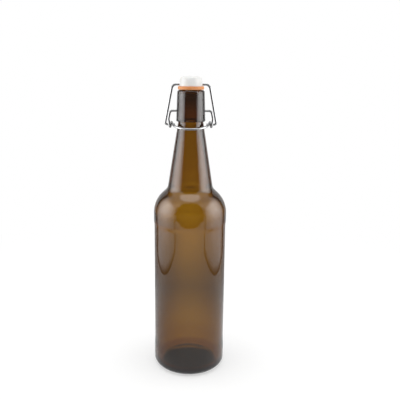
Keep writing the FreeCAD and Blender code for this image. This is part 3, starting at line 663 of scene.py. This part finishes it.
amber_glass, n = finish("amber_glass")
place = n.place()
height = n.part(place, "Z")
ripple = n.grain(n.stretch(place, RIPPLE_STRETCH), RIPPLE_SCALE, detail=1.0)
orange_peel = n.grain(place, PEEL_SCALE, detail=1.0)
breath = n.between(n.grain(place, BREATH_SCALE, detail=4.0, roughness=0.6), BREATH_FROM, BREATH_TO)
under = 1 - n.between(height, BEARING_FROM, BEARING_TO)
stipple = n.node("ShaderNodeTexVoronoi", {"feature": "SMOOTH_F1"}, {"Vector": place, "Scale": STIPPLE_SCALE})
skin = ripple * RIPPLE_SHARE + orange_peel * PEEL_SHARE + under * stipple * STIPPLE_SHARE
surface = n.node("ShaderNodeBsdfPrincipled", {}, {
    "Base Color": n.mix(breath, CLEAR, BREATHED),
    "Roughness": breath * BREATH_DULL + under * BEARING_DULL + POLISHED,
    "IOR": GLASS_IOR,
    "Transmission Weight": 1.0,
    "Normal": n.bump(skin, SKIN_DEPTH, SKIN_STRENGTH),
})
amber = n.node("ShaderNodeVolumeAbsorption", {}, {"Color": AMBER, "Density": AMBER_DENSITY})
n.node("ShaderNodeOutputMaterial", {}, {"Surface": surface, "Volume": amber})
wear(bottle, amber_glass)

# %% [markdown]
# The stopper's plastic is white but not chalky: light goes a little way in, and the moulded skin has a soft sheen
# with a fine grain. Handling leaves slightly duller, warmer patches.

# %% White plastic
WHITE, HANDLED_WHITE = (0.86, 0.86, 0.85, 1), (0.8, 0.79, 0.76, 1)
HANDLED_SCALE, SPECKLE_SCALE = 160, 2600
HANDLED_FROM, HANDLED_TO = 0.42, 0.7
SATIN, HANDLED_DULL, SPECKLE_DULL = 0.4, 0.12, 0.06
SPECKLE_DEPTH = 0.00002

white_plastic, n = finish("white_plastic")
place = n.place()
handled = n.between(n.grain(place, HANDLED_SCALE, detail=4.0), HANDLED_FROM, HANDLED_TO)
speckle = n.grain(place, SPECKLE_SCALE, detail=2.0)
surface = n.node("ShaderNodeBsdfPrincipled", {}, {
    "Base Color": n.mix(handled, WHITE, HANDLED_WHITE),
    "Roughness": SATIN + handled * HANDLED_DULL + speckle * SPECKLE_DULL,
    "IOR": 1.5,
    "Specular IOR Level": 0.35,
    "Subsurface Weight": 0.25,
    "Subsurface Radius": (1.0, 0.9, 0.8),
    "Subsurface Scale": 0.0012,
    "Normal": n.bump(speckle, SPECKLE_DEPTH, strength=0.6),
})
n.node("ShaderNodeOutputMaterial", {}, {"Surface": surface})
wear(stopper, white_plastic)

# %% [markdown]
# The gasket's rubber is a warm orange, matt, with a dusty bloom, and painted shade darkens its lower part by the
# lip.

# %% Orange rubber
ORANGE, DUSTY_ORANGE, SHADED_ORANGE = (0.7, 0.26, 0.075, 1), (0.78, 0.36, 0.14, 1), (0.36, 0.1, 0.04, 1)
BLOOM_SCALE, GRIT_SCALE = 240, 3200
BLOOM_FROM, BLOOM_TO = 0.4, 0.75
LIP_SHADE_FROM, LIP_SHADE_TO, LIP_SHADE_SHARE = SKIRT_Z - 1.4, SKIRT_Z + 0.5, 0.15
MATT, BLOOM_DULL, GRIT_DULL = 0.55, 0.2, 0.1
GRIT_DEPTH = 0.00003

orange_rubber, n = finish("orange_rubber")
place = n.place()
height = n.part(place, "Z")
bloom = n.between(n.grain(place, BLOOM_SCALE, detail=5.0, roughness=0.65), BLOOM_FROM, BLOOM_TO)
grit = n.grain(place, GRIT_SCALE, detail=3.0)
# Painted shade: from a little under the rim downwards, the colour is mixed towards a darker orange.
lip_shade = 1 - n.between(height, LIP_SHADE_FROM * MM, LIP_SHADE_TO * MM)
tone = n.mix(bloom, ORANGE, DUSTY_ORANGE)
surface = n.node("ShaderNodeBsdfPrincipled", {}, {
    "Base Color": n.mix(lip_shade * LIP_SHADE_SHARE, tone, SHADED_ORANGE),
    "Roughness": MATT + bloom * BLOOM_DULL + grit * GRIT_DULL,
    "IOR": 1.5,
    "Subsurface Weight": 0.1,
    "Subsurface Radius": (1.0, 0.5, 0.25),
    "Subsurface Scale": 0.0008,
    "Normal": n.bump(grit, GRIT_DEPTH, strength=0.7),
})
n.node("ShaderNodeOutputMaterial", {}, {"Surface": surface})
wear(gasket, orange_rubber)

# %% [markdown]
# The wires are bright spring steel. The die that the wire was drawn through leaves fine lines along it, so the
# grain is read from the place that each point had on the straight wire, stretched along its length. A little
# tarnish breaks up the shine in patches.

# %% Drawn steel
STEEL, TARNISHED, LINED = (0.4, 0.405, 0.41, 1), (0.31, 0.3, 0.29, 1), (0.35, 0.35, 0.355, 1)
LINE_SCALE, LINE_STRETCH, LINE_DEPTH = 5200, (1, 1, 0.03), 0.000012
TARNISH_FROM, TARNISH_TO = 0.45, 0.75
BRIGHT, LINE_DULL, TARNISH_DULL = 0.05, 0.08, 0.12


def drawn_steel(name, tarnish_scale):
    material, n = finish(name)
    straight = n.node("ShaderNodeAttribute", {"attribute_name": "drawn"}, output="Vector")
    lines = n.grain(n.stretch(straight, LINE_STRETCH), LINE_SCALE, detail=3.0)
    patches = n.grain(n.place(), tarnish_scale, detail=4.0, roughness=0.6)
    tarnish = n.between(patches, TARNISH_FROM, TARNISH_TO)
    tone = n.mix(tarnish, STEEL, TARNISHED)
    surface = n.node("ShaderNodeBsdfPrincipled", {}, {
        "Base Color": n.mix(lines, tone, LINED),
        "Metallic": 1.0,
        "Roughness": BRIGHT + lines * LINE_DULL + tarnish * TARNISH_DULL,
        "Normal": n.bump(lines, LINE_DEPTH, strength=0.7),
    })
    n.node("ShaderNodeOutputMaterial", {}, {"Surface": surface})
    return material


wear(bail, drawn_steel("bail_steel", tarnish_scale=210))
wear(lever, drawn_steel("lever_steel", tarnish_scale=260))

# %% [markdown]
# Glass shows its surroundings more than itself, so the studio is part of the finish. The bottle stands on a white
# floor in front of white. Two tall panels stand close by, left and right, and draw the pale upright bands on neck,
# collar and shoulder. The room in front is dim, which keeps the middle of the glass dark and draws the wires in
# dark lines.
#
# The floor answers each kind of ray by itself. To the eye it is painted near the bottle, where it keeps the soft
# shadow, and plain white further out.

# %% Floor, to the eye
FLOOR_SIZE = 6.0
PAINT, PALE_PAINT, MOTTLE_SCALE = (0.58, 0.58, 0.58, 1), (0.6, 0.6, 0.595, 1), 3.0
FLOOR_SHINE = 0.5
WHITE_FROM, WHITE_TO = 0.22, 0.5

floor_bm = bmesh.new()
bmesh.ops.create_grid(floor_bm, x_segments=2, y_segments=2, size=FLOOR_SIZE / 2)
floor = as_object(floor_bm, "floor")
pale_floor, n = finish("pale_floor")
place = n.place()
away = n.node("ShaderNodeVectorMath", {"operation": "LENGTH"}, {0: place}, output="Value")
mottle = n.grain(place, MOTTLE_SCALE, detail=3.0)
paint = n.node("ShaderNodeBsdfDiffuse", {}, {"Color": n.mix(mottle, PAINT, PALE_PAINT)})
seen = n.node("ShaderNodeLightPath", output="Is Camera Ray")
glow = n.node("ShaderNodeEmission", {}, {"Strength": seen * FLOOR_SHINE})
near = n.node("ShaderNodeAddShader", {}, {0: paint, 1: glow})
white = n.node("ShaderNodeEmission", {}, {"Strength": 1.0})
plain = n.node("ShaderNodeMixShader", {}, {0: n.between(away, WHITE_FROM, WHITE_TO), 1: near, 2: white})
print(f"floor of {FLOOR_SIZE} by {FLOOR_SIZE} m, plain white from {WHITE_TO} m on")

# %% [markdown]
# In the mirror of glass and metal the floor is white in front. Straight ahead it ends in a soft edge half a metre
# away, which curves outwards to the sides. Behind the bottle it is greyer, so that the sides of the glass stay
# dark. Close to the bottle a painted shadow darkens it a little more, most of all on the left.

# %% Floor, in the mirror
MIRRORED_FRONT, MIRRORED_LOSS = 1.12, 0.62
BEHIND_FROM, BEHIND_TO = 0.02, 0.2
EDGE_FROM, EDGE_TO, EDGE_BEND, EDGE_DIM = 0.465, 0.51, 0.2, 0.14
OPENING_DEG = (41, 46)
CLOSE_FROM, CLOSE_TO, CLOSE_SHADE = 0.08, 0.2, 0.12
CLOSE_LEFT_FROM, CLOSE_LEFT_TO = 0.01, 0.06


def radians(angles):
    return [math.radians(angle) for angle in angles]


across, along = (n.part(place, axis) for axis in "XY")
turned = n.maths("ARCTAN2", n.size(across), along * -1)
ahead = 1 - n.between(turned, *radians(OPENING_DEG))
gone = n.between(away - turned * turned * EDGE_BEND, EDGE_FROM, EDGE_TO) * ahead
behind = n.between(along, BEHIND_FROM, BEHIND_TO)
close_shade_left = n.between(across * -1, CLOSE_LEFT_FROM, CLOSE_LEFT_TO)
# Painted shadow: near the bottle the mirrored floor is darkened, up to twice as much on the left.
close_shade = (1 - n.between(away, CLOSE_FROM, CLOSE_TO)) * (close_shade_left + 1) * CLOSE_SHADE
open_floor = MIRRORED_FRONT - behind * MIRRORED_LOSS - gone * (MIRRORED_FRONT - EDGE_DIM)
image = n.node("ShaderNodeEmission", {}, {"Strength": open_floor * (1 - close_shade)})
print(f"mirrored floor: {MIRRORED_FRONT} in front, {MIRRORED_FRONT - MIRRORED_LOSS:.2f} behind")

# %% [markdown]
# Through the glass the floor is painted dark under the bottle, as in its shadow. Further out it has a soft ring of
# painted shade, it is dimmer to the sides and on the left as far as an arm reaches, and it fades slowly with
# distance.

# %% Floor, through the glass
RING_MIDDLE, RING_SPAN, RING_WHITE = (0, -0.006, 0), 0.5, 1.25
RING_STOPS = ((0.05, 0.0), (0.058, 0.9), (0.1, 0.9), (0.2, 0.8), (0.38, 0.42), (0.6, 0.78), (0.8, 0.98))
FAR_FADES = ((0.7, 1.6, 0.16), (1.9, 3.0, 0.55))
SIDE_FROM, SIDE_TO, SIDE_LOSS = 0.012, 0.05, 0.17
LEFT_FROM, LEFT_TO, LEFT_LOSS = 0.01, 0.05, 0.13
REACH_FROM, REACH_TO = 0.4, 0.52


def grey(level):
    return (level, level, level)


# Painted shade: the ring's levels, the loss to the sides and on the left, and the fade are set in the emission.
from_middle = n.node("ShaderNodeVectorMath", {"operation": "DISTANCE"}, {0: place, 1: RING_MIDDLE}, output="Value")
ring = n.node("ShaderNodeValToRGB", {"stops": [(at, grey(level)) for at, level in RING_STOPS]},
              {0: from_middle * (1 / RING_SPAN)})
far = sum(n.between(away, start, end) * loss for start, end, loss in FAR_FADES)
sides = n.between(n.size(across), SIDE_FROM, SIDE_TO) * SIDE_LOSS
left = n.between(across * -1, LEFT_FROM, LEFT_TO) * LEFT_LOSS
dimmed = (sides + left) * (1 - n.between(away, REACH_FROM, REACH_TO))
shade = n.node("ShaderNodeEmission", {}, {"Color": ring, "Strength": (1 - far) * (1 - dimmed) * RING_WHITE})
mirrored = n.node("ShaderNodeLightPath", output="Is Glossy Ray")
through = n.node("ShaderNodeLightPath", output="Is Transmission Ray")
either = n.node("ShaderNodeMixShader", {}, {0: mirrored, 1: plain, 2: image})
n.node("ShaderNodeOutputMaterial", {}, {
    "Surface": n.node("ShaderNodeMixShader", {}, {0: through, 1: either, 2: shade})})
wear(floor, pale_floor)

# %% [markdown]
# The room is white to the eye and a quarter as bright through the glass. What glass and metal mirror is drawn
# separately, by direction: bright overhead and to the sides, grey behind, and dim in front inside an opening with
# soft round corners. The turn is the angle from straight in front, the same to the left and to the right, and the
# rise is the height of a direction, 1 for straight up.

# %% The room
ROOM_FILL, THROUGH = 0.5, 0.25
FRONT_DIM, FRONT_LOW, SIDE_GREY, REAR_GREY, OVERHEAD = 0.1, 0.07, 1.7, 0.55, 2.4
OPEN_TURN, OPEN_RISE, OPEN_MIDDLE, OPEN_ROUND = 0.8, 0.66, 0.2, 4
OPEN_FROM, OPEN_TO = 0.75, 1.2
SIDE_END_DEG, REAR_START_DEG = (112, 124), (124, 136)
HIGH_FROM, HIGH_TO, HIGH_LOSS = 0.6, 0.8, 0.35
LOW_FROM, LOW_TO = 0.0, 0.3
ABOVE_FROM, ABOVE_TO = 0.89, 0.95

world = bpy.data.worlds.new("studio")
bpy.context.scene.world = world
n = Tree(world)
seen, through, mirrored, scattered = (n.node("ShaderNodeLightPath", output=f"Is {kind} Ray")
                                      for kind in ("Camera", "Transmission", "Glossy", "Diffuse"))
heading = n.place()
east, north, rise = (n.part(heading, axis) for axis in "XYZ")
turned = n.maths("ARCTAN2", n.size(east), north * -1)
opening = (turned * (1 / OPEN_TURN)) ** OPEN_ROUND + ((rise - OPEN_MIDDLE) * (1 / OPEN_RISE)) ** OPEN_ROUND
aside = n.between(opening, OPEN_FROM, OPEN_TO) * (1 - n.between(turned, *radians(SIDE_END_DEG)))
aside = aside * (1 - HIGH_LOSS * n.between(rise, HIGH_FROM, HIGH_TO))
rear = n.between(turned, *radians(REAR_START_DEG))
low = 1 - n.between(rise, LOW_FROM, LOW_TO)
above = n.between(rise, ABOVE_FROM, ABOVE_TO)
room = FRONT_DIM + low * FRONT_LOW + aside * SIDE_GREY + rear * REAR_GREY + above * OVERHEAD
strength = seen + through * THROUGH + mirrored * (1 - through) * room + scattered * ROOM_FILL
backdrop = n.node("ShaderNodeBackground", {}, {"Color": (1, 1, 1, 1), "Strength": strength})
n.node("ShaderNodeOutputWorld", {}, {"Surface": backdrop})
print(f"room: {len(world.node_tree.nodes)} nodes")

# %% [markdown]
# The panels are seen only in reflections. Each is brightest in its middle, a little above half its height, and
# fades towards the back. A dark frame runs along its near edge, its far edge and its foot.

# %% Panels
PANEL_X, PANEL_NEAR, PANEL_FAR, PANEL_HIGH = 0.27, -0.27, 0.24, 0.42
PANEL_MIDDLE, BRIGHT_END, BRIGHT_LOW, BRIGHT_HIGH = -0.05, 0.17, 0.23, 0.29
PANEL_GREY, PANEL_BRIGHT = 1.35, 4.5
BACK_FROM, BACK_TO, BACK_LOSS = 0.08, 0.18, 0.6
FRAME_NEAR, FRAME_SOFT, FRAME_FOOT, FRAME_LEVEL = 0.018, 1.6, 0.02, 0.18
FRAME_FAR_FROM, FRAME_FAR_TO = 0.17, 0.19


def panel_light():
    material, n = finish("panel_light")
    place = n.place()
    along, up = (n.part(place, axis) for axis in "YZ")
    bell = n.between(along, PANEL_NEAR, PANEL_MIDDLE) * (1 - n.between(along, PANEL_MIDDLE, BRIGHT_END))
    bell = bell * n.between(up, 0.0, BRIGHT_LOW) * (1 - n.between(up, BRIGHT_HIGH, PANEL_HIGH))
    inside = n.between(along, PANEL_NEAR + FRAME_NEAR, PANEL_NEAR + FRAME_NEAR * FRAME_SOFT)
    inside = inside * (1 - n.between(along, FRAME_FAR_FROM, FRAME_FAR_TO)) * n.between(up, 0.0, FRAME_FOOT)
    fade = 1 - BACK_LOSS * n.between(along, BACK_FROM, BACK_TO)
    level = fade * PANEL_GREY + bell * PANEL_BRIGHT
    lit = n.node("ShaderNodeEmission", {}, {"Strength": (FRAME_LEVEL + (1 - FRAME_LEVEL) * inside) * level})
    n.node("ShaderNodeOutputMaterial", {}, {"Surface": lit})
    return material


def panel(name, side, material):
    bm = bmesh.new()
    middle = Vector((side * PANEL_X, (PANEL_NEAR + PANEL_FAR) / 2, PANEL_HIGH / 2))
    size = Matrix.Diagonal((PANEL_HIGH, PANEL_FAR - PANEL_NEAR, 1, 1))
    stand = Matrix.Translation(middle) @ Matrix.Rotation(math.pi / 2, 4, "Y") @ size
    bmesh.ops.create_grid(bm, x_segments=1, y_segments=1, size=0.5, matrix=stand)
    sheet = as_object(bm, name)
    sheet.visible_camera = sheet.visible_diffuse = sheet.visible_transmission = False
    sheet.visible_shadow = False
    wear(sheet, material)


panel_finish = panel_light()
panel("panel_left", -1, panel_finish)
panel("panel_right", 1, panel_finish)

# %% [markdown]
# The lamps that light the white and orange pieces are soft boxes further out, one on each side and one overhead.
# They stay out of the reflections. The Standard view shows each colour about as it is written.

# %% Soft boxes
BOX_AWAY, BOX_DEPTH, BOX_TALL, BOX_FOOT, BOX_WATTS = 0.6, 1.0, 0.85, 0.02, 1.9
TOP_HIGH, TOP_SIZE, TOP_WATTS = 1.0, 0.6, 3.1


def soft_box(name, place, turned, width, height, watts):
    lamp = bpy.data.lights.new(name, "AREA")
    lamp.shape = "RECTANGLE"
    lamp.size, lamp.size_y = width, height
    lamp.energy = watts
    box = bpy.data.objects.new(name, lamp)
    box.location, box.rotation_euler = place, turned
    box.visible_camera = box.visible_glossy = box.visible_transmission = False
    bpy.context.scene.collection.objects.link(box)
    print(f"{name}: {watts} W over {width} by {height} m")


for name, side in (("box_left", -1), ("box_right", 1)):
    soft_box(name, (side * BOX_AWAY, 0, BOX_TALL / 2 + BOX_FOOT), (math.pi / 2, 0, side * math.pi / 2),
             BOX_DEPTH, BOX_TALL, BOX_WATTS)
soft_box("box_top", (0, 0, TOP_HIGH), (0, 0, 0), TOP_SIZE, TOP_SIZE, TOP_WATTS)
bpy.context.scene.view_settings.view_transform = "Standard"
